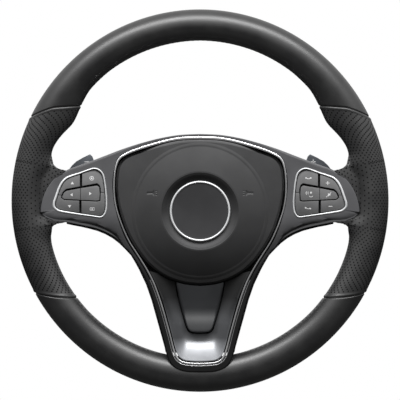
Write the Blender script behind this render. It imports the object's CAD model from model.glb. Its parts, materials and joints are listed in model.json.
"""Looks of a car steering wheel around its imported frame: leather rim, satin bezel, chrome strip, airbag
cover, switch packs, paddles and lower spoke. Sizes are in millimetres here, in metres once a mesh is made."""
import json
import math

import bmesh
import bpy
import numpy as np
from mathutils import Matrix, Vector


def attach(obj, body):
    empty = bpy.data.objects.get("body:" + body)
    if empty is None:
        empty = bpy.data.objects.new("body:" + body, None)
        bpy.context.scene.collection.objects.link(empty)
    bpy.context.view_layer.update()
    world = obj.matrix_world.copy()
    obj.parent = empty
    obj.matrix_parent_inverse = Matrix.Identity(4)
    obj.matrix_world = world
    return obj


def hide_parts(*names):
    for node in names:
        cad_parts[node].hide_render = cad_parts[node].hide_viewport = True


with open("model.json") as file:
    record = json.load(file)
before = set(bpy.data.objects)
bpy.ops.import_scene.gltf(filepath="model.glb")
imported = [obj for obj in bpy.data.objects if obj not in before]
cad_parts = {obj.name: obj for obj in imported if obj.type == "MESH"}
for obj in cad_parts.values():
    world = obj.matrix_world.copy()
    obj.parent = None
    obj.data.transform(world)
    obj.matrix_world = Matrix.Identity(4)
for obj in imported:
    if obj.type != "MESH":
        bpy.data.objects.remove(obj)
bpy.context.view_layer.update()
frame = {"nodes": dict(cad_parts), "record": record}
MM = 0.001
FAR = 1e9

# Rim, as the part's source has it
RIM_W, RIM_H = 377.0, 382.4
GRIP_W, GRIP_D, REACH = 33.0, 30.0, 58.0
SEAM_GAP = 0.8
SWELL = [(0, -1.8), (20, -1.3), (35, -0.7), (45, 0.7), (50, 3.6), (55.3, 6.9), (58.7, 7.9), (61.8, 5.6),
         (64.8, 2.9), (67.8, 0.8), (70.9, -0.5), (73.9, 0.6), (76.2, 5.4), (100, 5.8), (101.5, 3.8),
         (105, 1.5), (110, 0.8), (120, 0.2), (135, -0.1), (180, 1.2)]
UPPER_SEAM, UPPER_SLANT, LOWER_SEAM, LOWER_SLANT = 57.6, -6.1, 123.75, 4.45
ROOT_FILLETS = [(-136.5, 43.5, 12.5), (-141.0, -32.0, 9.0)]
ROOT_MIDDLE, ROOT_SPREAD = 88.2, 14.8
ROOT_INNER_R, ROOT_FRONT, ROOT_BACK = 137.0, 9.0, 16.0
TUCK_GAP, TUCK_Y = 0.4, -61.5

# Front bezel: outer x and z, inner x and z, width and depth of the edge roll; left side, top to bottom
BEZEL = [
    (0, 66.6, 0, 64.4, 0.9, 1), (-20, 65.7, -19.8, 63.4, 0.9, 1), (-40, 62.4, -38.6, 60.1, 0.9, 1.2),
    (-60, 57.2, -56.5, 54.5, 1.2, 1.8), (-78, 51.4, -72.5, 48, 2.2, 3.5), (-92, 46.1, -81.8, 42.6, 3.4, 5),
    (-107.9, 40, -84.4, 36.6, 4, 6), (-121, 35.2, -86, 31, 4, 6), (-132, 31, -86.9, 25.5, 3.2, 4.5),
    (-139.9, 25.8, -87.4, 20.5, 1.2, 1.4), (-145.6, 21.7, -87.5, 16.5, 1, 1.2),
    (-150, 15.9, -87.5, 13, 1, 1.2),
    (-153.6, 9.8, -87.3, 9.5, 1, 1.2), (-156.4, 2.9, -87, 6, 1, 1.2), (-158.3, -4.6, -86.6, 2.5, 1, 1.2),
    (-158.9, -11.4, -86.1, -1, 1, 1.4), (-157.8, -14.9, -85.6, -4, 1.6, 2),
    (-154.3, -17.6, -85, -6.8, 3.2, 4),
    (-146, -20.3, -84, -10.5, 5, 6), (-134.6, -21.6, -82.8, -15.5, 6, 8), (-121, -24.2, -81.3, -20.5, 6, 8),
    (-106, -27.4, -79.3, -26.5, 6, 8), (-94.3, -32, -77, -32.5, 5, 7), (-85.6, -37.3, -74.4, -38.5, 4, 6),
    (-75.2, -46.7, -69.6, -47, 2.6, 4), (-65.4, -58.8, -61.4, -59.4, 1.6, 3),
    (-57.4, -73.2, -53, -73.6, 1.6, 3),
    (-50.4, -91, -45.2, -90, 1.8, 3), (-45.4, -108, -39.8, -106, 1.8, 3), (-41, -124, -35.8, -121, 1.8, 3),
    (-36.8, -140, -31.6, -137, 1.8, 3), (-33.4, -153, -28.4, -149, 1.4, 2),
    (-30.4, -160.6, -25.6, -156.4, 1.2, 1.6),
    (-26.2, -165.5, -22.2, -160.4, 1.2, 1.6), (-20.6, -168.7, -17.6, -162.6, 1.2, 1.6),
    (-12, -170.6, -10.6, -163.6, 1.2, 1.6), (0, -171, 0, -163.9, 1.2, 1.6)]
STRIP = [
    (0, 62.95, 1.5), (-20, 62, 1.5), (-35, 59.3, 1.4), (-51, 54.9, 1.4), (-66, 50, 1.3), (-76, 45.4, 1.2),
    (-81.2, 41.2, 1.1), (-83.9, 34.6, 0.9), (-85.4, 26, 0.8), (-86, 14, 0.8), (-85.5, 3, 0.8),
    (-83.6, -8, 0.8),
    (-80.4, -18.5, 0.8), (-76.2, -29.5, 0.8), (-70.6, -41.2, 0.8), (-63, -53.2, 0.9), (-54, -67.6, 1),
    (-47.2, -80.6, 1.1), (-42, -94, 1.1), (-37.4, -108, 1.1), (-34, -120, 1.1), (-30.4, -133, 1.1),
    (-27.2, -145.4, 1.1), (-24.8, -152.8, 1.1), (-21.6, -158, 1.1), (-17, -160.8, 1.1), (-10, -162, 1.1),
    (0, -162.4, 1.1)]
COVER = [(0, 61), (-20, 60.1), (-40, 56.1), (-58, 50.2), (-70, 46.0), (-77.4, 41.7), (-81.9, 34.9),
         (-83.9, 24),
         (-84.3, 13), (-82.9, 2), (-80.6, -9.6), (-76.9, -22), (-72.8, -32.4), (-67, -43.4), (-60, -54),
         (-53, -62.6), (-45.6, -69.6), (-37.6, -75), (-28, -79.6), (-15, -83.4), (0, -85)]
DISH = [(-51.8, -70, -25.4, -77), (-47, -79.2, -24.6, -85), (-41.8, -91, -23.2, -94),
        (-37, -104.6, -20.6, -105),
        (-32.8, -119.4, -17.4, -116.6), (-29.2, -133, -14.6, -125.8), (-26, -145, -13, -129.6),
        (-23.4, -152.6, -11.4, -131.6), (-20.2, -157.2, -9, -132.8), (-15.6, -159.7, -6.6, -133.2),
        (-8, -160.7, -3, -133.4), (0, -161, 0, -133.4)]
PACK = [(-104.7, 31), (-98.9, 27.4), (-96.6, 20), (-95.3, 10), (-94.6, 0), (-94.9, -8.3), (-96.5, -13.1),
        (-99.4, -15.3), (-106.3, -14.5), (-121.3, -12.3), (-138.3, -9.4), (-142.1, -7.8), (-144.2, -5.4),
        (-144.2, -2), (-143.1, 1.3), (-141.5, 6.1), (-139.4, 11.9), (-136.2, 17.8), (-132.2, 21.6),
        (-126, 24.2),
        (-119.7, 26.3), (-112, 29.3)]
FACE_Y, WING_RISE, LEG_RISE, SEAM_Y, BEZEL_WALL = -60.0, 9.0, 13.5, -50.0, 2.2
COVER_APEX, COVER_CROWN_R, ZONE_APEX, ZONE_R, COVER_GAP = -68.0, 400.0, -69.2, 64.5, 0.15
EDGE_Y, INSIDE_Y, COVER_WALL = -54.2, -62.4, 2.6
EMBLEM_Z, EMBLEM_R, EMBLEM_RING, RECESS_DEPTH = -10.5, 30.2, 2.2, 3.2
HORN_X, HORN_Z = 47.5, 7.5


def ramp(t):
    return min(1.0, max(0.0, t))


def smooth(t):
    t = ramp(t)
    return t * t * (3 - 2 * t)


def curve(points, n):
    """A smooth curve through points of any size, with n steps between neighbours."""
    p = [np.array(q, float) for q in points]
    last = len(p) - 1
    out = []
    for i in range(last):
        a, b, c, d = p[max(i - 1, 0)], p[i], p[i + 1], p[min(i + 2, last)]
        for k in range(n):
            t = k / n
            out.append((2 * b + (c - a) * t + (2 * a - 5 * b + 4 * c - d) * t ** 2
                        + (3 * b - a - 3 * c + d) * t ** 3) / 2)
    return out + [p[last]]


def closed_curve(points, n):
    count = len(points)
    wide = [points[(i - 1) % count] for i in range(count + 3)]
    return curve(wide, n)[n:n + count * n]


def whole(half, flip):
    """A closed outline from its left half, whose ends lie on the middle."""
    return list(half) + [flip(q) for q in half[-2:0:-1]]


def flip_x(q):
    return np.array([-q[0], *q[1:]])


def grown(outline, d):
    """The outline moved outwards by d, going counter-clockwise."""
    out = []
    for i, p in enumerate(outline):
        along = outline[(i + 1) % len(outline)][:2] - outline[i - 1][:2]
        along = along / np.linalg.norm(along)
        out.append(p[:2] + d * np.array([along[1], -along[0]]))
    return out


def face(p):
    return (FACE_Y - WING_RISE * ramp((abs(p[0]) - 80) / 78) ** 1.4
            - LEG_RISE * ramp((-p[1] - 50) / 120) ** 1.25)


# Making meshes

def mesh_object(name, points, faces, material, smooth_angle=35):
    mesh = bpy.data.meshes.new(name)
    mesh.from_pydata([tuple(np.array(p, float) * MM) for p in points], [], [tuple(f) for f in faces])
    mesh.update()
    thing = bpy.data.objects.new(name, mesh)
    bpy.context.collection.objects.link(thing)
    tidy(thing, smooth_angle)
    mesh.materials.append(material)
    return thing


def tidy(thing, smooth_angle=35, merge=0.002):
    """Merges doubles, points the faces outwards and shades smooth up to an angle."""
    work = bmesh.new()
    work.from_mesh(thing.data)
    bmesh.ops.remove_doubles(work, verts=work.verts, dist=merge * MM)
    bmesh.ops.recalc_face_normals(work, faces=work.faces)
    limit = math.radians(smooth_angle)
    for f in work.faces:
        f.smooth = True
    for e in work.edges:
        e.smooth = len(e.link_faces) == 2 and e.calc_face_angle(math.pi) < limit
    work.to_mesh(thing.data)
    work.free()


def rows(n, m, closed):
    faces = []
    for i in range(n if closed else n - 1):
        for k in range(m):
            a, b = i * m + k, i * m + (k + 1) % m
            c, d = ((i + 1) % n) * m + k, ((i + 1) % n) * m + (k + 1) % m
            faces.append((a, b, d, c))
    return faces


def loft(name, sections, material, closed=True, smooth_angle=35):
    points = [p for s in sections for p in s]
    faces = rows(len(sections), len(sections[0]), closed)
    if not closed:
        m = len(sections[0])
        faces += [tuple(range(m)), tuple(range(len(points) - m, len(points)))]
    return mesh_object(name, points, faces, material, smooth_angle)


def slab(name, outline, y0, y1, material=None):
    """A prism of an outline drawn in X and Z, between two depths."""
    n = len(outline)
    points = [(p[0], y, p[1]) for y in (y0, y1) for p in outline]
    faces = [tuple(range(n)), tuple(range(2 * n - 1, n - 1, -1))]
    faces += [(i, (i + 1) % n, n + (i + 1) % n, n + i) for i in range(n)]
    return mesh_object(name, points, faces, material or PLAIN, 30)


def baked(thing):
    """Applies the modifiers and leaves a plain mesh."""
    graph = bpy.context.evaluated_depsgraph_get()
    mesh = bpy.data.meshes.new_from_object(thing.evaluated_get(graph))
    thing.modifiers.clear()
    thing.data = mesh
    return thing


def cut(thing, *tools):
    for tool in tools:
        m = thing.modifiers.new("cut", "BOOLEAN")
        m.operation, m.solver, m.object = "DIFFERENCE", "EXACT", tool
        bpy.context.view_layer.update()
        baked(thing)
    for tool in tools:
        bpy.data.objects.remove(tool)
    return thing


def bevelled(thing, width, segments=3, angle=35):
    m = thing.modifiers.new("edge", "BEVEL")
    m.width, m.segments, m.limit_method, m.angle_limit = width * MM, segments, "ANGLE", math.radians(angle)
    m.harden_normals = False
    bpy.context.view_layer.update()
    baked(thing)
    tidy(thing, 40, 0.0005)
    return thing


def copy_of(node, material, width=0.0, segments=3):
    """A merged copy of a CAD node, with its sharp edges rounded."""
    mesh = frame["nodes"][node].data.copy()
    thing = bpy.data.objects.new(node + "_dressed", mesh)
    bpy.context.collection.objects.link(thing)
    mesh.materials.clear()
    mesh.materials.append(material)
    work = bmesh.new()
    work.from_mesh(mesh)
    bmesh.ops.remove_doubles(work, verts=work.verts, dist=0.002 * MM)
    bmesh.ops.dissolve_limit(work, angle_limit=math.radians(1.2), verts=work.verts, edges=work.edges)
    work.to_mesh(mesh)
    work.free()
    tidy(thing)
    if width:
        bevelled(thing, width, segments)
    return thing


def finish_piece(thing, body, slot, *nodes):
    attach(thing, body)
    if nodes:
        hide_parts(*nodes)
    return thing


# Materials

def material(name, colour, roughness, metallic=0.0, coat=0.0, coat_roughness=0.1, specular=0.5):
    m = bpy.data.materials.new(name)
    m.use_nodes = True
    shader = m.node_tree.nodes["Principled BSDF"]
    shader.inputs["Base Color"].default_value = (*colour, 1)
    shader.inputs["Roughness"].default_value = roughness
    shader.inputs["Metallic"].default_value = metallic
    shader.inputs["Coat Weight"].default_value = coat
    shader.inputs["Coat Roughness"].default_value = coat_roughness
    shader.inputs["Specular IOR Level"].default_value = specular
    return m, m.node_tree, shader


def add_grain(tree, shader, scale, strength, distance, kind="noise", detail=4.0):
    """Fine relief on the piece's own coordinates."""
    where = tree.nodes.new("ShaderNodeTexCoord")
    if kind == "cells":
        grain = tree.nodes.new("ShaderNodeTexVoronoi")
        grain.feature = "SMOOTH_F1"
        out = grain.outputs["Distance"]
    else:
        grain = tree.nodes.new("ShaderNodeTexNoise")
        grain.inputs["Detail"].default_value = detail
        out = grain.outputs["Fac"]
    grain.inputs["Scale"].default_value = scale
    bump = tree.nodes.new("ShaderNodeBump")
    bump.inputs["Strength"].default_value = strength
    bump.inputs["Distance"].default_value = distance
    tree.links.new(where.outputs["Object"], grain.inputs["Vector"])
    tree.links.new(out, bump.inputs["Height"])
    tree.links.new(bump.outputs["Normal"], shader.inputs["Normal"])
    return where


def vary(tree, shader, where, low, high, scale, rough=None):
    """Slow change of colour, and of roughness where given."""
    noise = tree.nodes.new("ShaderNodeTexNoise")
    noise.inputs["Scale"].default_value = scale
    noise.inputs["Detail"].default_value = 3
    tree.links.new(where.outputs["Object"], noise.inputs["Vector"])
    blend = tree.nodes.new("ShaderNodeValToRGB")
    blend.color_ramp.elements[0].position, blend.color_ramp.elements[1].position = 0.35, 0.65
    blend.color_ramp.elements[0].color = (*low, 1)
    blend.color_ramp.elements[1].color = (*high, 1)
    tree.links.new(noise.outputs["Fac"], blend.inputs["Fac"])
    tree.links.new(blend.outputs["Color"], shader.inputs["Base Color"])
    if rough:
        spread = tree.nodes.new("ShaderNodeMapRange")
        spread.inputs["To Min"].default_value, spread.inputs["To Max"].default_value = rough
        tree.links.new(noise.outputs["Fac"], spread.inputs["Value"])
        tree.links.new(spread.outputs["Result"], shader.inputs["Roughness"])


def toned(m, stops):
    """Deepens a finish by height: stops are (z in mm, share of the colour), from low to high."""
    tree = m.node_tree
    shader = tree.nodes["Principled BSDF"]
    link = shader.inputs["Base Color"].links[0]
    source = link.from_socket
    where, split = tree.nodes.new("ShaderNodeTexCoord"), tree.nodes.new("ShaderNodeSeparateXYZ")
    span, fall, mix = (tree.nodes.new("ShaderNodeMapRange"), tree.nodes.new("ShaderNodeValToRGB"),
                       tree.nodes.new("ShaderNodeMix"))
    low, high = stops[0][0], stops[-1][0]
    span.inputs["From Min"].default_value, span.inputs["From Max"].default_value = low * MM, high * MM
    mix.data_type, mix.blend_type = "RGBA", "MULTIPLY"
    mix.inputs["Factor"].default_value = 1.0
    ramp_stops = fall.color_ramp.elements
    for e, (z, share) in zip(ramp_stops, (stops[0], stops[-1])):
        e.position, e.color = (z - low) / (high - low), (share, share, share, 1)
    for z, share in stops[1:-1]:
        ramp_stops.new((z - low) / (high - low)).color = (share, share, share, 1)
    tree.links.new(where.outputs["Object"], split.inputs["Vector"])
    tree.links.new(split.outputs["Z"], span.inputs["Value"])
    tree.links.new(span.outputs["Result"], fall.inputs["Fac"])
    tree.links.new(source, mix.inputs["A"])
    tree.links.new(fall.outputs["Color"], mix.inputs["B"])
    tree.links.new(mix.outputs["Result"], shader.inputs["Base Color"])
    return m


def leather(name, tone, roughness, grain, strength):
    m, tree, shader = material(name, (tone, tone, tone), roughness, specular=0.7)
    where = add_grain(tree, shader, grain, strength, 0.00025, "cells")
    low = (tone * 0.8, tone * 0.8, tone * 0.82)
    high = (tone * 1.25, tone * 1.25, tone * 1.25)
    vary(tree, shader, where, low, high, 60, (roughness - 0.05, roughness + 0.06))
    return m


def moulded(name, colour, roughness, grain=900, strength=0.12, metallic=0.0, coat=0.0, specular=0.5):
    m, tree, shader = material(name, colour, roughness, metallic, coat, specular=specular)
    where = add_grain(tree, shader, grain, strength, 0.0001)
    vary(tree, shader, where, [c * 0.93 for c in colour], [c * 1.07 for c in colour], 40,
         (roughness - 0.02, roughness + 0.03))
    return m


PLAIN = material("plain", (0.5, 0.5, 0.5), 0.5)[0]
SMOOTH_LEATHER = leather("smooth_leather", 0.02, 0.37, 1500, 0.16)
GRIP_LEATHER = leather("perforated_leather", 0.03, 0.4, 1500, 0.2)
HOLE = material("perforation", (0.004, 0.004, 0.004), 0.9, specular=0.1)[0]
THREAD = moulded("seam_thread", (0.03, 0.03, 0.03), 0.5)
TRIM = toned(moulded("satin_trim", (0.12, 0.12, 0.125), 0.36, 1400, 0.05, specular=0.22),
             [(-130, 0.02), (-75, 0.05), (-38, 0.4), (-25, 0.6), (-14, 1.0), (20, 1.0), (60, 0.8)])
CHROME = toned(moulded("bright_trim", (0.9, 0.9, 0.91), 0.2, 300, 0.01, metallic=0.7),
               [(-170, 0.7), (-140, 0.3), (-60, 0.3), (40, 1.0)])
COVER_SKIN = toned(moulded("cover_skin", (0.055, 0.055, 0.056), 0.42, 1700, 0.35, specular=0.3),
                   [(-86, 0.05), (-62, 0.3), (-30, 0.75), (10, 1.0), (58, 1.4)])
CONE_SKIN = toned(moulded("cover_cone", (0.06, 0.06, 0.061), 0.42, 1700, 0.35, specular=0.2),
                  [(-48, 2.6), (-36, 2.0), (-10, 0.6), (12, 0.12), (28, 0.05)])
EMBLEM_SKIN = moulded("emblem_face", (0.05, 0.05, 0.052), 0.3, 1200, 0.05, specular=0.35)
RING_SILVER = moulded("ring_silver", (0.88, 0.89, 0.9), 0.35, 500, 0.02, metallic=0.35)
KEY_SKIN = toned(moulded("key_face", (0.21, 0.21, 0.212), 0.42, 1600, 0.08, specular=0.3),
                 [(-16, 0.45), (0, 0.85), (20, 1.0)])
SIGN = moulded("sign_white", (0.85, 0.85, 0.85), 0.5, 900, 0.02)
DISH_METAL = toned(moulded("spoke_metal", (0.8, 0.82, 0.86), 0.36, 400, 0.02, metallic=0.45),
                   [(-152, 0.5), (-143, 0.36), (-137, 0.16), (-122, 0.16), (-108, 0.06), (-97, 0.015),
                    (-84, 0.003)])
TONGUE_SKIN = moulded("dark_satin", (0.03, 0.031, 0.033), 0.3, 900, 0.03, specular=0.5)
BLACK_PLASTIC = moulded("black_plastic", (0.025, 0.025, 0.026), 0.5, 1200, 0.2, specular=0.3)
PADDLE_METAL = moulded("paddle_metal", (0.13, 0.14, 0.155), 0.34, 700, 0.04, metallic=0.8)
CAST = moulded("cast_alloy", (0.6, 0.61, 0.62), 0.42, 500, 0.3, metallic=1.0)
STEEL = moulded("steel", (0.55, 0.55, 0.56), 0.3, 400, 0.05, metallic=1.0)
FOAM = moulded("foam", (0.012, 0.012, 0.012), 0.8, 700, 0.4)
CLOTH = moulded("cushion", (0.6, 0.6, 0.58), 0.8, 1100, 0.4)
BRASS = moulded("brass", (0.75, 0.58, 0.3), 0.3, 400, 0.05, metallic=1.0)
SOCKET = moulded("socket_plastic", (0.55, 0.55, 0.5), 0.5)
BOARD = moulded("board", (0.02, 0.14, 0.06), 0.4)
MAT = moulded("mat", (0.25, 0.25, 0.25), 0.6)
BY_SLOT = {"cast_alloy": CAST, "foam": FOAM, "steel": STEEL, "cushion": CLOTH, "brass": BRASS,
           "socket_plastic": SOCKET, "board": BOARD, "mat": MAT, "black_plastic": BLACK_PLASTIC,
           "satin_trim": TRIM, "bright_trim": CHROME, "cover_skin": COVER_SKIN, "emblem_face": EMBLEM_SKIN,
           "ring_silver": RING_SILVER, "key_face": KEY_SKIN, "spoke_metal": DISH_METAL,
           "dark_satin": TONGUE_SKIN, "paddle_metal": PADDLE_METAL, "smooth_leather": SMOOTH_LEATHER,
           "perforated_leather": GRIP_LEATHER}


# Repeated small things, made by Geometry Nodes on guide points

def repeated(name, points, aims, alongs, kind, sizes, material):
    """Stands one small shape on each guide point: 'hole' is a round dot, 'thread' a rounded stitch."""
    mesh = bpy.data.meshes.new(name)
    mesh.from_pydata([tuple(p * MM) for p in points], [], [])
    for label, values in (("aim", aims), ("along", alongs)):
        layer = mesh.attributes.new(label, "FLOAT_VECTOR", "POINT")
        layer.data.foreach_set("vector", np.array(values, np.float32).ravel())
    thing = bpy.data.objects.new(name, mesh)
    bpy.context.collection.objects.link(thing)
    tree = bpy.data.node_groups.new(name, "GeometryNodeTree")
    tree.interface.new_socket("Geometry", in_out="INPUT", socket_type="NodeSocketGeometry")
    named = {}
    for label in ("Length", "Width", "Height"):
        named[label] = tree.interface.new_socket(label, in_out="INPUT", socket_type="NodeSocketFloat")
    tree.interface.new_socket("Geometry", in_out="OUTPUT", socket_type="NodeSocketGeometry")
    node = tree.nodes.new
    link = tree.links.new
    start, end = node("NodeGroupInput"), node("NodeGroupOutput")
    spots = node("GeometryNodeMeshToPoints")
    scale = node("ShaderNodeCombineXYZ")
    turn = node("FunctionNodeAxesToRotation")
    turn.primary_axis, turn.secondary_axis = "Z", "X"
    for label, socket in (("aim", "Primary Axis"), ("along", "Secondary Axis")):
        read = node("GeometryNodeInputNamedAttribute")
        read.data_type = "FLOAT_VECTOR"
        read.inputs["Name"].default_value = label
        link(read.outputs["Attribute"], turn.inputs[socket])
    if kind == "hole":
        shape = node("GeometryNodeMeshCircle")
        shape.fill_type = "NGON"
        shape.inputs["Vertices"].default_value = 10
        shape.inputs["Radius"].default_value = 0.5
    else:
        shape = node("GeometryNodeMeshUVSphere")
        shape.inputs["Segments"].default_value = 8
        shape.inputs["Rings"].default_value = 6
        shape.inputs["Radius"].default_value = 0.5
    place = node("GeometryNodeInstanceOnPoints")
    real = node("GeometryNodeRealizeInstances")
    paint = node("GeometryNodeSetMaterial")
    paint.inputs["Material"].default_value = material
    for label, axis in (("Length", "X"), ("Width", "Y"), ("Height", "Z")):
        link(start.outputs[label], scale.inputs[axis])
    link(start.outputs["Geometry"], spots.inputs["Mesh"])
    link(spots.outputs["Points"], place.inputs["Points"])
    link(shape.outputs["Mesh"], place.inputs["Instance"])
    link(turn.outputs["Rotation"], place.inputs["Rotation"])
    link(scale.outputs["Vector"], place.inputs["Scale"])
    link(place.outputs["Instances"], real.inputs["Geometry"])
    link(real.outputs["Geometry"], paint.inputs["Geometry"])
    link(paint.outputs["Geometry"], end.inputs["Geometry"])
    modifier = thing.modifiers.new("repeat", "NODES")
    modifier.node_group = tree
    for label, value in zip(("Length", "Width", "Height"), sizes):
        modifier[named[label].identifier] = value * MM
    bpy.context.view_layer.update()
    baked(thing)
    thing.data.polygons.foreach_set("use_smooth", [kind != "hole"] * len(thing.data.polygons))
    return thing


# Leather rim

def bump(t):
    c = max(0.0, 1 - t * t)
    return c * c


def outer_r(a):
    a = math.radians(a)
    return RIM_H / 2 * math.cos(a) ** 2 + RIM_W / 2 * math.sin(a) ** 2


def swell(a):
    spread = [a + k for k in (-1.6, -0.8, 0, 0.8, 1.6)]
    return float(np.mean(np.interp(spread, [s[0] for s in SWELL], [s[1] for s in SWELL])))


def root_reach(a):
    """How near the middle the leather comes at an angle from the top: rim, fillet, then spoke root."""
    reach = []
    for (x, z, r), way in zip(ROOT_FILLETS, (1, -1)):
        far, at = math.hypot(x, z), math.degrees(math.atan2(-x, z))
        off = (a - at) * way
        if off <= 0:
            return FAR
        across = far * math.sin(math.radians(off))
        if across < r:
            reach.append(far * math.cos(math.radians(off)) + math.sqrt(r * r - across ** 2))
    return max(reach) if reach else ROOT_INNER_R


def rim_point(a0, turn):
    """A point of the rim's skin: a0 is the angle from the top, and turn goes once round the section."""
    if a0 > 180:
        a0 -= 360
    outside = turn < 180
    v = math.radians(turn - 90)
    phi = math.radians(max(0.0, turn - 180))
    u = -math.cos(v) if outside else math.sin(phi)
    m = abs(a0)
    lean = UPPER_SLANT * bump((m - UPPER_SEAM) / 22) + LOWER_SLANT * bump((m - LOWER_SEAM) / 20)
    a = min(180.0, max(0.0, m + lean * u))
    half_w, half_d = GRIP_W / 2, GRIP_D / 2
    spine = outer_r(a) - half_w
    if outside:
        s, y = -half_w * math.cos(v), -half_d * math.sin(v)
    else:
        w = half_w + swell(a)
        slim = smooth((a - 77) / 5) * smooth((99.5 - a) / 5)
        body_w = w - swell(a) * slim
        s = max(w, spine - root_reach(a)) * math.sin(phi)
        front = phi < math.pi / 2
        arch = max(0.0, 1 - ((a - ROOT_MIDDLE) / ROOT_SPREAD) ** 4) ** 0.25
        body = math.sqrt(max(0.0, 1 - (s / body_w) ** 2)) * half_d
        end = math.sqrt(1 - (1 - min(1.0, abs(math.cos(phi)) * 2)) ** 2)
        y = (-1 if front else 1) * max(body, (ROOT_FRONT if front else ROOT_BACK) * arch * end)
    r = spine - s
    a = math.radians(a)
    return (-math.copysign(1, a0) * r * math.sin(a), y - REACH, r * math.cos(a))


HOOP = 96
HALF_SEAM = math.degrees(SEAM_GAP / 2 / (RIM_W / 2))


def skin_grid(a_from, a_to, step=0.3):
    """Points, outward directions and distances along the rim, as a grid."""
    n = int(round(abs(a_to - a_from) / step)) + 1
    stops = np.linspace(a_from, a_to, n)
    way = 1 if a_to > a_from else -1
    low, high = min(a_from, a_to), max(a_from, a_to)
    extra = [way * m for m in np.concatenate([np.arange(75.9, 77.8, 0.08), np.arange(98.6, 100.6, 0.08)])]
    extra = [e for e in extra + [-e for e in extra] if low < e < high]
    stops = np.array(sorted(list(stops) + extra, key=lambda v: v * way))
    grid = np.array([[rim_point(a, 360 * k / HOOP) for k in range(HOOP)] for a in stops])
    along = np.gradient(grid, axis=0)
    around = np.roll(grid, -1, axis=1) - np.roll(grid, 1, axis=1)
    out = np.cross(around, along)
    out /= np.linalg.norm(out, axis=2, keepdims=True) + 1e-9
    middle = grid.mean(axis=1, keepdims=True)
    if ((grid - middle) * out).sum() < 0:
        out = -out
    steps = np.linalg.norm(np.diff(grid, axis=0), axis=2).mean(axis=1)
    length = np.concatenate([[0], np.cumsum(steps)])
    return grid, out, along, length


def inside(outline, x, z):
    """Which of the places lie inside a closed outline."""
    hit = np.zeros(x.shape, bool)
    for (x0, z0), (x1, z1) in zip(outline, np.roll(outline, -1, axis=0)):
        crosses = (z0 > z) != (z1 > z)
        with np.errstate(divide="ignore", invalid="ignore"):
            hit ^= crosses & (x < (x1 - x0) * (z - z0) / (z1 - z0) + x0)
    return hit


def tucked(points):
    """Lets the leather dip behind the wing tip of the bezel."""
    outline = np.array(grown(whole([q[:2] for q in curve(BEZEL, 3)], flip_x), -0.9))
    front = points[..., 1] < TUCK_Y + TUCK_GAP
    under = front & inside(outline, points[..., 0], points[..., 2])
    points[..., 1] = np.where(under, TUCK_Y + TUCK_GAP, points[..., 1])
    return points


def skin(name, a_from, a_to, material, lip, node):
    """One stretch of leather: rolled in at both ends, with a raised lip along the seam where asked."""
    grid, out, along, length = skin_grid(a_from, a_to)
    total = length[-1]
    lift = []
    for d in length:
        e = min(d, total - d)
        sink = 0.7 * (1 - math.sqrt(max(0.0, 1 - (1 - min(1, e / 1.1)) ** 2)))
        lift.append(lip * math.exp(-((e - 2.0) / 1.3) ** 2) - sink)
    points = grid + out * np.array(lift)[:, None, None]
    if lip:
        points = tucked(points)
        sections = [grid[0] - out[0] * 2.5] + list(points) + [grid[-1] - out[-1] * 2.5]
    else:
        ends = []
        for i, sign in ((0, -1), (-1, 1)):
            ahead = along[i] / np.linalg.norm(along[i], axis=1)[:, None] * sign
            ends.append([grid[i] - out[i] * 0.75, grid[i] - out[i] * 0.8 + ahead * 1.2,
                         grid[i] - out[i] * 2.5 + ahead * 1.2])
        sections = ends[0][::-1] + list(points) + ends[1]
    flat = np.array(sections).reshape(-1, 3)
    thing = mesh_object(name, flat, rows(len(sections), HOOP, False), material, 60)
    if lip:
        grid = points
    finish_piece(thing, "wheel", "perforated_leather" if lip else "smooth_leather", node)
    return grid, out, along, length


def perforations(name, grids, pitch_round=2.6, pitch_along=5.1):
    grid, out, along, length = grids
    spots, aims, alongs = [], [], []
    wing = np.array(grown(whole([q[:2] for q in curve(BEZEL, 3)], flip_x), 0.3))
    round_steps = np.linalg.norm(np.roll(grid[len(grid) // 3], -1, axis=0) - grid[len(grid) // 3], axis=1)
    girth = round_steps.sum()
    count = int(girth / pitch_round / 2) * 2
    for c in range(count):
        k = c * HOOP / count
        k0 = int(k)
        f = k - k0
        first = 4.6 + (pitch_along / 2 if c % 2 else 0)
        for d in np.arange(first, length[-1] - 4.4, pitch_along):
            i = np.interp(d, length, np.arange(len(length)))
            i0 = min(int(i), len(length) - 2)
            g = i - i0
            corner = [(i0, k0, (1 - g) * (1 - f)), (i0 + 1, k0, g * (1 - f)),
                      (i0, (k0 + 1) % HOOP, (1 - g) * f), (i0 + 1, (k0 + 1) % HOOP, g * f)]
            p = sum(grid[a, b] * w for a, b, w in corner)
            n = sum(out[a, b] * w for a, b, w in corner)
            n /= np.linalg.norm(n)
            if p[1] < TUCK_Y + 1 and inside(wing, np.array([p[0]]), np.array([p[2]]))[0]:
                continue
            spots.append(p + n * 0.035)
            aims.append(n)
            alongs.append(sum(along[a, b] * w for a, b, w in corner))
    thing = repeated(name, spots, aims, alongs, "hole", (1.5, 1.5, 1), HOLE)
    return finish_piece(thing, "wheel", "perforated_leather")


def stitches(name, grids, turn, pitch=5.0, skip=5.0):
    """A row of stitches along the rim, at one place round its section."""
    grid, out, along = grids[:3]
    k = int(round(turn / 360 * HOOP)) % HOOP
    run = grid[:, k]
    travel = np.concatenate([[0], np.cumsum(np.linalg.norm(np.diff(run, axis=0), axis=1))])
    spots, aims, alongs = [], [], []
    for d in np.arange(skip, travel[-1] - skip, pitch):
        i = min(int(round(np.interp(d, travel, np.arange(len(travel))))), len(travel) - 1)
        spots.append(run[i] + out[i, k] * 0.1)
        aims.append(out[i, k])
        alongs.append(along[i, k])
    thing = repeated(name, spots, aims, alongs, "thread", (3.2, 0.75, 0.55), THREAD)
    return finish_piece(thing, "wheel", "smooth_leather")


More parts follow.
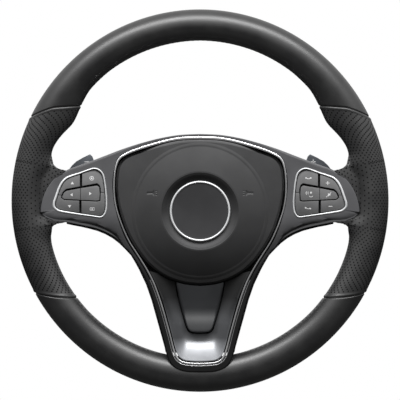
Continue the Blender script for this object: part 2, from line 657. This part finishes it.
def foam_core():
    """The foam, cut back where the leather draws in a round fillet at the spoke roots."""
    foam = copy_of("rim_foam", FOAM)
    tools = []
    for x, z, r in ROOT_FILLETS:
        ring = [(x + (r + 0.8) * math.cos(math.radians(a)), z + (r + 0.8) * math.sin(math.radians(a)))
                for a in range(0, 360, 6)]
        for outline in both([np.array(q) for q in ring]):
            tools.append(slab("fillet_tool", outline, -100, 10))
    cut(foam, *tools)
    finish_piece(foam, "wheel", "foam", "rim_foam")


def leather_rim():
    top = UPPER_SEAM - HALF_SEAM
    grip = (UPPER_SEAM + HALF_SEAM, LOWER_SEAM - HALF_SEAM)
    low = LOWER_SEAM + HALF_SEAM
    stitches("top_stitches", skin("top_wrap", -top, top, SMOOTH_LEATHER, 0.0, "top_leather"), 263)
    below = skin("bottom_wrap", low, 360 - low, SMOOTH_LEATHER, 0.0, "bottom_leather")
    stitches("bottom_stitches", below, 251)
    for side, sign in (("left", 1), ("right", -1)):
        grids = skin(side + "_grip_wrap", sign * grip[0], sign * grip[1], GRIP_LEATHER, 0.4,
                     side + "_grip_leather")
        perforations(side + "_perforations", grids)


# Trim: bezel, chrome strip and the lower spoke's dish

def bezel_section(q):
    """One section across the bezel: rolled outer edge, face, and the turned-in inner edge."""
    o, i = np.array(q[0:2]), np.array(q[2:4])
    w = np.linalg.norm(i - o)
    u = (i - o) / w
    roll_w, roll_d = min(q[4], 0.4 * w), q[5]
    y0 = face(o)
    skirt = SEAM_Y
    if np.linalg.norm(o) > (150 if o[1] < -100 else 131):
        skirt = TUCK_Y
    roll_d = min(roll_d, skirt - y0 - 0.6)
    wing_edge = -48 < o[1] < -12
    if wing_edge:
        roll_w, roll_d = 0.5, 0.4
    section = [(0, skirt), (0, y0 + roll_d + 0.2)]
    for k in range(8):
        t = math.radians(90 * k / 7)
        e = roll_w * (1 - math.cos(t))
        top = face(o + e * u)
        section.append((e, top + roll_d * (1 - math.sin(t))))
    for k in range(1, 9):
        e = roll_w + (w - roll_w - 0.35) * (k / 8 if not wing_edge else (k / 8) ** 1.8)
        section.append((e, face(o + e * u)))
    section += [(w - 0.1, face(i) + 0.1), (w, face(i) + 0.4), (w, face(i) + 6)]
    wall = min(BEZEL_WALL, 0.32 * w)
    section += [(w - wall, face(i) + 6), (wall, min(y0 + roll_d + 1.4, skirt - 0.1)), (wall, skirt)]
    points = [(o[0] + e * u[0], y, o[1] + e * u[1]) for e, y in section]
    if wing_edge:
        limit = skirt - 0.3
        points = [(x, min(y + roll_under(x, z), limit) if y < limit and 0 < k < 17 else y, z)
                  for k, (x, y, z) in enumerate(points)]
    return points


def roll_under(x, z):
    """How far the wing's face has fallen away at a place near its lower edge."""
    wide = 5.2 * smooth((-x - 74) / 12)
    edge = np.array([q[:2] for q in BEZEL if -60 < q[1] < -11])
    away = FAR
    for a, b in zip(edge, edge[1:]):
        t = ramp(np.dot(np.array([x, z]) - a, b - a) / np.dot(b - a, b - a))
        away = min(away, math.hypot(*(a + t * (b - a) - np.array([x, z]))))
    deep = 3.0 + 5.0 * smooth((x + 139) / 10)
    return deep * max(0.0, 1 - away / max(wide, 0.1)) ** 1.4


def mirror_section(s):
    return [(-p[0], p[1], p[2]) for p in s]


def whole_sections(half):
    return list(half) + [mirror_section(s) for s in half[-2:0:-1]]


def pack_outline(d):
    return grown(closed_curve(list(reversed(PACK)), 4), d)


def both(outline):
    return outline, [np.array([-p[0], p[1]]) for p in reversed(outline)]


def switch_windows(thing, d):
    """Cuts the openings for both switch packs."""
    tools = [slab("window_tool", side, -90, 0) for side in both(pack_outline(d))]
    return cut(thing, *tools)


def front_bezel():
    sections = whole_sections([bezel_section(q) for q in curve(BEZEL, 5)])
    bezel = loft("bezel_dressed", sections, TRIM, True, 38)
    switch_windows(bezel, 2.15)
    cut(bezel, slab("strip_tool", strip_edge(0.05), -90, 0))
    tidy(bezel, 38, 0.001)
    finish_piece(bezel, "wheel", "satin_trim", "front_bezel")


def strip_edge(d):
    """The outer edge of the bright strip, with d more all round."""
    run = strip_points()
    out = []
    for i, p in enumerate(run):
        along = run[(i + 1) % len(run)][:2] - run[i - 1][:2]
        along = along / np.linalg.norm(along)
        out.append(p[:2] + (p[2] + d) * np.array([along[1], -along[0]]))
    return out


def strip_points(steps=6):
    return whole(curve(STRIP, steps), flip_x)


def chrome_strip(name="chrome_dressed", shift=0.0, half=None, proud=0.9, replaced=True, keep=None):
    """The bright strip round the cover, crowned across its width."""
    run = [p for p in strip_points() if keep is None or keep(p)]
    sections = []
    count = len(run)
    for i, p in enumerate(run):
        before, after = run[i - 1], run[(i + 1) % count]
        if keep is not None:
            before, after = run[max(i - 1, 0)], run[min(i + 1, count - 1)]
        along = after[:2] - before[:2]
        along = along / np.linalg.norm(along)
        side = np.array([along[1], -along[0]])
        w = (half or p[2]) - 0.05
        middle = p[:2] + side * shift
        y = face(middle)
        section = [(-1, y + 3)]
        for k in range(9):
            t = math.radians(180 * k / 8)
            section.append((-math.cos(t), y + 0.1 - (proud + 0.1) * math.sin(t) ** 0.7))
        section.append((1, y + 3))
        sections.append([(middle[0] + e * w * side[0], d, middle[1] + e * w * side[1]) for e, d in section])
    thing = loft(name, sections, CHROME, keep is None, 50)
    finish_piece(thing, "wheel", "bright_trim", *(("chrome_surround",) if replaced else ()))


def cover_outline(d, steps=5):
    return grown(whole(curve([(*p, 0) for p in COVER], steps), flip_x), d)


def dish_section(q):
    i, o0 = np.array(q[2:4]), np.array(q[0:2])
    u = (i - o0) / np.linalg.norm(i - o0)
    o = o0 + 0.9 * u
    w = np.linalg.norm(i - o)
    y0, floor = face(o) - 0.2, -56.0
    section = [(0, y0 + 4), (0, y0 + 0.3), (0.3, y0), (0.9, y0)]
    for k in range(1, 11):
        t = k / 10
        e = 0.9 + (w - 0.9) * t
        section.append((e, y0 + (floor - y0) * (1 - (1 - t) ** 1.9)))
    section += [(w, floor + 6), (w - 1.6, floor + 6), (w - 1.6, floor + 1.6),
                (0.4 * w, y0 + 0.5 * (floor - y0) + 2.1), (1.5, y0 + 4)]
    return [(o[0] + e * u[0], y, o[1] + e * u[1]) for e, y in section]


def spoke_dish():
    half = [dish_section(q) for q in curve(DISH, 5)]
    dish = loft("dish_dressed", half + [mirror_section(s) for s in half[-2::-1]], DISH_METAL, False, 45)
    cut(dish, slab("cover_tool", cover_outline(0.4), -90, -52))
    tidy(dish, 45, 0.001)
    finish_piece(dish, "wheel", "spoke_metal", "spoke_dish")


# Airbag cover

def cover_depth(x, z, edge):
    """Front of the cover at a place: crown, raised round pad with a crease, and the cone round the emblem."""
    r = math.hypot(x, z - EMBLEM_Z)
    zone_r = 1 / (1 / COVER_CROWN_R + 2 * (COVER_APEX - ZONE_APEX) / ZONE_R ** 2)
    outer = COVER_APEX + r * r / 2 / COVER_CROWN_R
    pad = ZONE_APEX + r * r / 2 / zone_r
    y = outer + (pad - outer) * smooth((ZONE_R + 0.6 - r) / 1.2)
    y -= 0.3 * smooth((r - ZONE_R + 0.3) / 2.4)
    y += max(0.0, r - ZONE_R - 2.5) ** 2 / 90
    top = EMBLEM_R + 8
    if r < top + 1.5:
        floor = ZONE_APEX + RECESS_DEPTH
        cone = floor + (y - floor) * ramp((r - EMBLEM_R - 0.15) / (top - EMBLEM_R)) if r > EMBLEM_R else floor
        y = max(y, cone) if r < top else y
        y += 0.25 * math.exp(-((r - top) / 1.2) ** 2)
    roll = 1.8 - 0.8 * smooth((z - 34) / 12)
    if edge < roll:
        y += 0.95 * roll * (1 - math.sqrt(max(0.0, 1 - (1 - edge / roll) ** 2)))
    return y


def horn_mark(x, z, side):
    """How deep the small horn sign is pressed in at a place: mouthpiece, bell and sound lines."""
    px, pz = (x - side * HORN_X) * -side, z - HORN_Z
    flare = 0.9 + 1.9 * smooth((px + 1.2) / 3.2) ** 1.6
    bell = smooth((px + 4.4) / 0.3) * smooth((1.9 - px) / 0.3) * smooth((flare - abs(pz)) / 0.3)
    ball = smooth((1.25 - math.hypot(px + 4.6, pz)) / 0.3)
    depth = max(bell, ball)
    for offset, length in ((0.0, 2.2), (1.7, 1.9), (-1.7, 1.9)):
        tilt = offset * 0.35
        line = smooth((0.32 - abs(pz - offset - tilt * (px - 3.2) / 3)) / 0.2)
        depth = max(depth, line * smooth((px - 2.7) / 0.2) * smooth((2.9 + length - px) / 0.2))
    return 0.55 * depth


def airbag_cover():
    """A dense grid of the cover's face inside its outline, turned down at the edge."""
    outline = cover_outline(-COVER_GAP, 8)
    centre = np.array([0.0, EMBLEM_Z])
    angle = [math.atan2(p[1] - centre[1], p[0] - centre[0]) for p in outline]
    reach = [float(np.linalg.norm(p - centre)) for p in outline]
    order = np.argsort(angle)
    angle, reach = np.array(angle)[order], np.array(reach)[order]
    turns = 480
    rays = np.linspace(-math.pi, math.pi, turns, endpoint=False)
    limit = np.interp(rays, angle, reach, period=2 * math.pi)
    inner = np.concatenate([np.linspace(EMBLEM_R + 0.15, EMBLEM_R + 10, 24),
                            np.linspace(EMBLEM_R + 10.8, 61.5, 36), np.linspace(62, 67.5, 20)])
    points, rings = [], []
    for r in inner:
        rings.append(np.minimum(r, limit - 6 * (1 - (r - EMBLEM_R) / 60)))
    base = rings[-1]
    for t in np.linspace(0, 1, 22)[1:]:
        rings.append(base + (limit - base) * (1 - (1 - t) ** 1.6))
    for ring in rings:
        for ray, r, most in zip(rays, ring, limit):
            x, z = centre[0] + r * math.cos(ray), centre[1] + r * math.sin(ray)
            y = cover_depth(x, z, most - r)
            for side in (-1, 1):
                if abs(x - side * HORN_X) < 9 and abs(z - HORN_Z) < 5:
                    y += horn_mark(x, z, side)
            points.append((x, y, z))
    for depth, inset in ((EDGE_Y, 0.0), (EDGE_Y, COVER_WALL), (INSIDE_Y, COVER_WALL)):
        for ray, most in zip(rays, limit):
            most = most - inset
            points.append((centre[0] + most * math.cos(ray), depth, centre[1] + most * math.sin(ray)))
    ring = EMBLEM_R + 0.15
    for ray in rays:
        points.append((centre[0] + ring * math.cos(ray), INSIDE_Y, centre[1] + ring * math.sin(ray)))
    faces = rows(len(rings) + 4, turns, True)
    cover = mesh_object("cover_dressed", points, faces, COVER_SKIN, 40)
    cover.data.materials.append(CONE_SKIN)
    for f in cover.data.polygons:
        if math.hypot(f.center.x, f.center.z - EMBLEM_Z * MM) < (EMBLEM_R + 8.2) * MM:
            f.material_index = 1
    finish_piece(cover, "airbag_module", "cover_skin", "airbag_cover")


def emblem():
    """A plain dark disc in a bright ring, with nothing on it."""
    floor, r_disc = ZONE_APEX + RECESS_DEPTH, EMBLEM_R - EMBLEM_RING - 0.05
    turned = []
    for k in range(160):
        t = 2 * math.pi * k / 160
        profile = [(0.05, floor - 0.9)]
        for j in range(1, 25):
            r = (r_disc - 0.6) * j / 24
            profile.append((r, floor - 0.9 - 1.15 * (r / r_disc) ** 2))
        profile += [(r_disc - 0.2, floor - 2.1), (r_disc, floor - 1.9), (r_disc, floor), (0.05, floor)]
        turned.append([(r * math.cos(t), y, EMBLEM_Z + r * math.sin(t)) for r, y in profile])
    disc = loft("emblem_disc_dressed", turned, EMBLEM_SKIN, True, 50)
    finish_piece(disc, "airbag_module", "emblem_face", "emblem_disc")
    sections = []
    for k in range(160):
        t = 2 * math.pi * k / 160
        r_in, r_out = EMBLEM_R - EMBLEM_RING, EMBLEM_R
        profile = [(r_in, floor), (r_in, floor - 1.8), (r_in + 0.25, floor - 2.5)]
        for j in range(7):
            u = j / 6
            profile.append((r_in + 0.3 + (EMBLEM_RING - 0.6) * u, floor - 2.6 - 0.5 * math.sin(math.pi * u)))
        profile += [(r_out - 0.05, floor - 2.3), (r_out, floor)]
        sections.append([(r * math.cos(t), y, EMBLEM_Z + r * math.sin(t)) for r, y in profile])
    ring = loft("emblem_ring_dressed", sections, RING_SILVER, True, 50)
    finish_piece(ring, "airbag_module", "ring_silver", "emblem_ring")


# Switch packs, keys and their signs

KEYS = {"left": ("up", "select", "previous", "next", "down", "menu"),
        "right": ("plus", "call", "mute", "voice", "minus", "hang_up")}
PACK_MIDDLE, PACK_TILT, PACK_CROWN_R = (-119.0, -64.0, 7.0), 7.0, 260.0


def key_top(x, z):
    """Depth of the keys' crowned front on the left pack, at a place."""
    tilt = math.radians(PACK_TILT)
    cx = PACK_MIDDLE[0] - PACK_CROWN_R * math.sin(tilt)
    cy = PACK_MIDDLE[1] + PACK_CROWN_R * math.cos(tilt)
    return cy - math.sqrt(PACK_CROWN_R ** 2 - (x - cx) ** 2 - (z - PACK_MIDDLE[2]) ** 2)


def sign_plate(name, outlines, side, body, slot="key_face", top=None, stand=0.05, thick=0.12):
    """Thin painted shapes that follow the front of a key; outlines are drawn for the left side."""
    top = top or key_top
    points, faces = [], []
    for outline in outlines:
        if side == "right":
            outline = [(-x, z) for x, z in outline]
        n = len(points)
        for drop in (-stand, thick - stand):
            points += [(x, top(-abs(x), z) + drop, z) for x, z in outline]
        c = len(outline)
        faces += [tuple(range(n, n + c)), tuple(range(n + 2 * c - 1, n + c - 1, -1))]
        faces += [(n + i, n + (i + 1) % c, n + c + (i + 1) % c, n + c + i) for i in range(c)]
    thing = mesh_object(name, points, faces, SIGN, 30)
    return finish_piece(thing, body, slot)


def moved(outline, x, z, size=1.0, turn=0.0):
    c, s = math.cos(math.radians(turn)), math.sin(math.radians(turn))
    return [(x + size * (c * p[0] - s * p[1]), z + size * (s * p[0] + c * p[1])) for p in outline]


def stroke(points, w):
    """A closed outline round a line of points, w wide."""
    left, right = [], []
    p = [np.array(q, float) for q in points]
    for i, q in enumerate(p):
        along = p[min(i + 1, len(p) - 1)] - p[max(i - 1, 0)]
        along = along / np.linalg.norm(along)
        side = np.array([-along[1], along[0]]) * w / 2
        left.append(tuple(q + side))
        right.append(tuple(q - side))
    return left + right[::-1]


def arc(r, a, b, n=10, x=0.0, z=0.0):
    turns = [math.radians(a + (b - a) * i / n) for i in range(n + 1)]
    return [(x + r * math.cos(t), z + r * math.sin(t)) for t in turns]


TRIANGLE = [(-1.7, -1.2), (1.7, -1.2), (0, 1.5)]
BAR = [(-1.9, -0.35), (1.9, -0.35), (1.9, 0.35), (-1.9, 0.35)]
POST = [(-0.35, -1.9), (0.35, -1.9), (0.35, 1.9), (-0.35, 1.9)]
HANDSET = stroke(arc(3.0, 205, 335, 14, 0, 2.2), 0.8)
EAR = [(-0.75, -0.8), (0.75, -0.8), (0.75, 0.8), (-0.75, 0.8)]
RING = stroke(arc(1.9, 0, 356, 28), 0.55)
DOT = arc(0.8, 0, 342, 18)
SPEAKER = [(-2.2, -0.8), (-1.0, -0.8), (0.6, -2.0), (0.6, 2.0), (-1.0, 0.8), (-2.2, 0.8)]
WAVE = stroke(arc(1.6, -50, 50, 8, 0.3, 0), 0.5)
HEAD = arc(1.0, 0, 342, 18, -1.2, 0.7)
MOUTH = stroke(arc(1.7, 200, 340, 10, -1.2, -1.9), 0.6)
CASE = stroke([(-2.3, -1.5), (2.3, -1.5), (2.3, 1.3), (-2.3, 1.3), (-2.3, -1.5)], 0.5)
SIGNS = {
    "up": [moved(TRIANGLE, -127.4, 17.5)],
    "select": [moved(RING, -108.2, 22.3), moved(DOT, -108.2, 22.3)],
    "previous": [moved(TRIANGLE, -128.2, 5.8, 0.95, 90)],
    "next": [moved(TRIANGLE, -109.5, 7.0, 0.95, -90)],
    "down": [moved(TRIANGLE, -130.1, -5.7, 1, 180)],
    "menu": [moved(CASE, -107.7, -8.3, 0.9), moved(DOT, -107.7, -8.4, 0.8)],
    "plus": [moved(BAR, -127.4, 17.5), moved(POST, -127.4, 17.5)],
    "call": [moved(HANDSET, -108.2, 22.4, 0.8),
             moved(EAR, -110.6, 22.6, 0.85, 25), moved(EAR, -105.8, 22.6, 0.85, -25)],
    "mute": [moved(SPEAKER, -128.2, 5.8, 0.85), moved(stroke([(-2.6, 2.4), (2.4, -2.4)], 0.5), -128.2, 5.8)],
    "voice": [moved(HEAD, -109.5, 7.2), moved(MOUTH, -109.5, 7.2),
              moved(WAVE, -109.6, 7.6), moved(WAVE, -108.3, 7.6, 1.3)],
    "minus": [moved(BAR, -130.1, -5.7)],
    "hang_up": [moved(HANDSET, -107.7, -7.6, 0.8, 8),
                moved(EAR, -110.1, -8.0, 0.85, 30), moved(EAR, -105.3, -7.2, 0.85, -20)]}


def pack_ring(side):
    """The silver ring round the keys: a crowned band, proud of the bezel and widest at the wing tip."""
    sections = []
    sign = -1 if side == "right" else 1
    inner = pack_outline(0.3)
    for i, p in enumerate(inner):
        along = inner[(i + 1) % len(inner)] - inner[i - 1]
        along = along / np.linalg.norm(along)
        out = np.array([along[1], -along[0]])
        wide = 1.65 + 0.6 * smooth((-p[0] - 112) / 26)
        top = min(face(p + out), key_top(*p)) - 0.35
        sink = face(p + out * wide)
        section = [(0, -60.5), (0, top + 0.9)]
        for k in range(9):
            t = k / 8
            crown = 0.55 * math.sin(math.pi * t) ** 0.7
            section.append((0.1 + (wide - 0.2) * t, top + (sink - top) * t ** 3 - crown))
        section += [(wide, sink + 0.15), (1.7, sink + 0.3), (1.7, -60.5)]
        sections.append([(sign * (p[0] + e * out[0]), y, p[1] + e * out[1]) for e, y in section])
    return loft(side + "_ring_dressed", sections, RING_SILVER, True, 50)


def switch_packs():
    for side in ("left", "right"):
        ring = pack_ring(side)
        finish_piece(ring, "wheel", "ring_silver", side + "_switch_ring")
        for key in KEYS[side]:
            node = side + "_key_" + key
            body = frame_body(node)
            cap = copy_of(node, KEY_SKIN, 0.35, 4)
            finish_piece(cap, body, "key_face", node)
            sign_plate("sign_" + side + "_" + key, SIGNS[key], side, body)


def frame_body(node):
    """The body that a CAD node rides on."""
    for name, nodes in frame["record"]["behaviour"]["bodies"].items():
        if node in nodes:
            return name
    return "wheel"


# Paddles

def paddles():
    for side in ("left", "right"):
        body = side + "_paddle"
        blade = copy_of(side + "_paddle", PADDLE_METAL, 0.7, 4)
        finish_piece(blade, body, "paddle_metal", side + "_paddle")
        shapes = [moved(BAR, -114.3, 39.2, 1.25)]
        if side == "right":
            shapes.append(moved(POST, -114.3, 39.2, 1.25))
        sign_plate("sign_" + body, shapes, side, body, "paddle_metal", lambda x, z: -32.0)


TONGUE = [(-24, -78), (-22.8, -88), (-20.6, -99), (-17.6, -111), (-14.2, -122.6), (-12.4, -127.2),
          (-10.4, -129.8), (-7, -131.2), (-0.4, -131.6)]
TONGUE_LINE = [(-131, -65.6), (-127, -64.9), (-121, -63.3), (-115, -60.9), (-111, -59.8), (-100, -59.9),
               (-78, -61.4)]


def tongue_depth(z):
    """The tongue sinks a little, then comes forward towards its lower end."""
    return float(np.interp(z, [q[0] for q in TONGUE_LINE], [q[1] for q in TONGUE_LINE]))


def tongue():
    sections = []
    for x, z in curve(TONGUE, 8):
        depth = np.mean([tongue_depth(z + d) for d in (-3, -1.5, 0, 1.5, 3)])
        w, end = -x, smooth((z + 131.9) / 1.6)
        section = [(w, -50), (w, depth + 1.6 + (1 - end))]
        for k in range(25):
            t = 1 - 2 * k / 24
            roll = 1.4 * (1 - math.sqrt(max(0.0, 1 - ramp((abs(t) * w - w + 1.6) / 1.6) ** 2)))
            section.append((w * t * 0.999, depth + roll + (1 - end) - 0.5 * (1 - t * t)))
        section += [(-w, depth + 1.6 + (1 - end)), (-w, -50)]
        sections.append([(e, y, z) for e, y in section])
    thing = loft("tongue_dressed", sections, TONGUE_SKIN, False, 50)
    cut(thing, slab("cover_tool", cover_outline(0.4), -90, -52))
    tidy(thing, 45, 0.001)
    finish_piece(thing, "wheel", "dark_satin", "spoke_tongue")


def rear_parts():
    cover = copy_of("rear_cover", BLACK_PLASTIC, 0.8, 3)
    finish_piece(cover, "wheel", "black_plastic", "rear_cover")


def plain_nodes():
    """Finishes for the nodes that stay as they are. No slots are found, so all show in black plastic."""
    slots = {}
    for slot, nodes in slot_nodes().items():
        for n in nodes:
            slots[n] = slot
    for name, thing in frame["nodes"].items():
        finish = BY_SLOT.get(slots.get(name, ""), BLACK_PLASTIC)
        for s in thing.material_slots:
            s.material = finish
        if not thing.material_slots:
            thing.data.materials.append(finish)


def slot_nodes():
    """Nodes by slot. The record keeps them under subparts, so this comes back empty: an open fault."""
    found = {}
    for name, slot in frame["record"].get("material_slots", {}).items():
        nodes = slot if isinstance(slot, list) else slot.get("nodes", [])
        found.setdefault(name, []).extend(nodes)
    return found


# Stage, lamps and camera

def stage():
    bpy.ops.mesh.primitive_plane_add(size=3.0, location=(0, 0, -0.62))
    floor = bpy.context.object
    floor.name = "floor"
    paint, tree, shader = material("floor_paint", (0.8, 0.8, 0.8), 0.9, specular=0.1)
    path = tree.nodes.new("ShaderNodeLightPath")
    tone = tree.nodes.new("ShaderNodeMix")
    tone.data_type = "RGBA"
    tone.inputs["A"].default_value = (0.85, 0.85, 0.85, 1)
    tone.inputs["B"].default_value = (0.1, 0.1, 0.1, 1)
    bounce = tree.nodes.new("ShaderNodeMath")
    bounce.operation = "MAXIMUM"
    tree.links.new(path.outputs["Is Diffuse Ray"], bounce.inputs[0])
    tree.links.new(path.outputs["Is Glossy Ray"], bounce.inputs[1])
    tree.links.new(bounce.outputs["Value"], tone.inputs["Factor"])
    tree.links.new(tone.outputs["Result"], shader.inputs["Base Color"])
    floor.data.materials.append(paint)
    world = bpy.data.worlds.new("studio")
    bpy.context.scene.world = world
    world.use_nodes = True
    tree = world.node_tree
    tree.nodes.clear()
    node, link = tree.nodes.new, tree.links.new
    path, where = node("ShaderNodeLightPath"), node("ShaderNodeTexCoord")
    split = node("ShaderNodeSeparateXYZ")
    link(where.outputs["Generated"], split.inputs["Vector"])
    span = node("ShaderNodeMapRange")
    span.inputs["From Min"].default_value, span.inputs["From Max"].default_value = -1, 1
    link(split.outputs["Z"], span.inputs["Value"])

    def gradient(stops):
        fall = node("ShaderNodeValToRGB")
        link(span.outputs["Result"], fall.inputs["Fac"])
        ends = fall.color_ramp.elements
        for e, (at, tone) in zip(ends, (stops[0], stops[-1])):
            e.position, e.color = at, (tone, tone, tone, 1)
        for at, tone in stops[1:-1]:
            ends.new(at).color = (tone, tone, tone, 1)
        back = node("ShaderNodeBackground")
        link(fall.outputs["Color"], back.inputs["Color"])
        return back

    def blend(socket, first, second):
        mixed = node("ShaderNodeMixShader")
        link(socket, mixed.inputs["Fac"])
        link(first.outputs[0], mixed.inputs[1])
        link(second.outputs[0], mixed.inputs[2])
        return mixed

    seen = node("ShaderNodeMath")
    seen.operation = "MAXIMUM"
    link(path.outputs["Is Camera Ray"], seen.inputs[0])
    link(path.outputs["Is Transmission Ray"], seen.inputs[1])
    white = node("ShaderNodeBackground")
    white.inputs["Color"].default_value = (1, 1, 1, 1)
    soft = gradient(SOFT_SKY)
    mirror = gradient(MIRROR_SKY)
    sky = blend(path.outputs["Is Glossy Ray"], soft, mirror)
    sky = blend(seen.outputs["Value"], sky, white)
    link(sky.outputs["Shader"], node("ShaderNodeOutputWorld").inputs["Surface"])


# Tone of the studio by height, from straight down (0) to straight up (1)
SOFT_SKY = [(0.0, 0.0), (0.5, 0.0), (0.6, 0.03), (0.8, 0.3), (1.0, 0.8)]
MIRROR_SKY = [(0.0, 0.0), (0.48, 0.01), (0.56, 0.25), (0.68, 1.0), (1.0, 1.0)]


def lamp(name, place, target, size, power):
    light = bpy.data.lights.new(name, "AREA")
    light.shape, light.size, light.size_y, light.energy = "RECTANGLE", size[0], size[1], power
    thing = bpy.data.objects.new(name, light)
    bpy.context.collection.objects.link(thing)
    thing.location = place
    thing.rotation_euler = (Vector(target) - Vector(place)).to_track_quat("-Z", "Y").to_euler()


def lamps_and_camera():
    lamp("key_above", (0, -1.75, 2.35), (0, -0.05, 0.0), (3.4, 0.9), 125)
    camera = bpy.data.cameras.new("camera")
    camera.lens, camera.sensor_width = 234, 36
    thing = bpy.data.objects.new("camera", camera)
    bpy.context.collection.objects.link(thing)
    thing.location = (-0.00005, -2.658, 0.0006)
    thing.rotation_euler = (math.pi / 2, 0, 0)
    bpy.context.scene.camera = thing
    bpy.context.scene.view_settings.view_transform = "Standard"


plain_nodes()
leather_rim()
foam_core()
front_bezel()
chrome_strip()
chrome_strip("outer_line", 2.1, 0.45, 0.5, False, lambda q: q[1] < -78)
spoke_dish()
airbag_cover()
emblem()
switch_packs()
paddles()
tongue()
rear_parts()
stage()
lamps_and_camera()
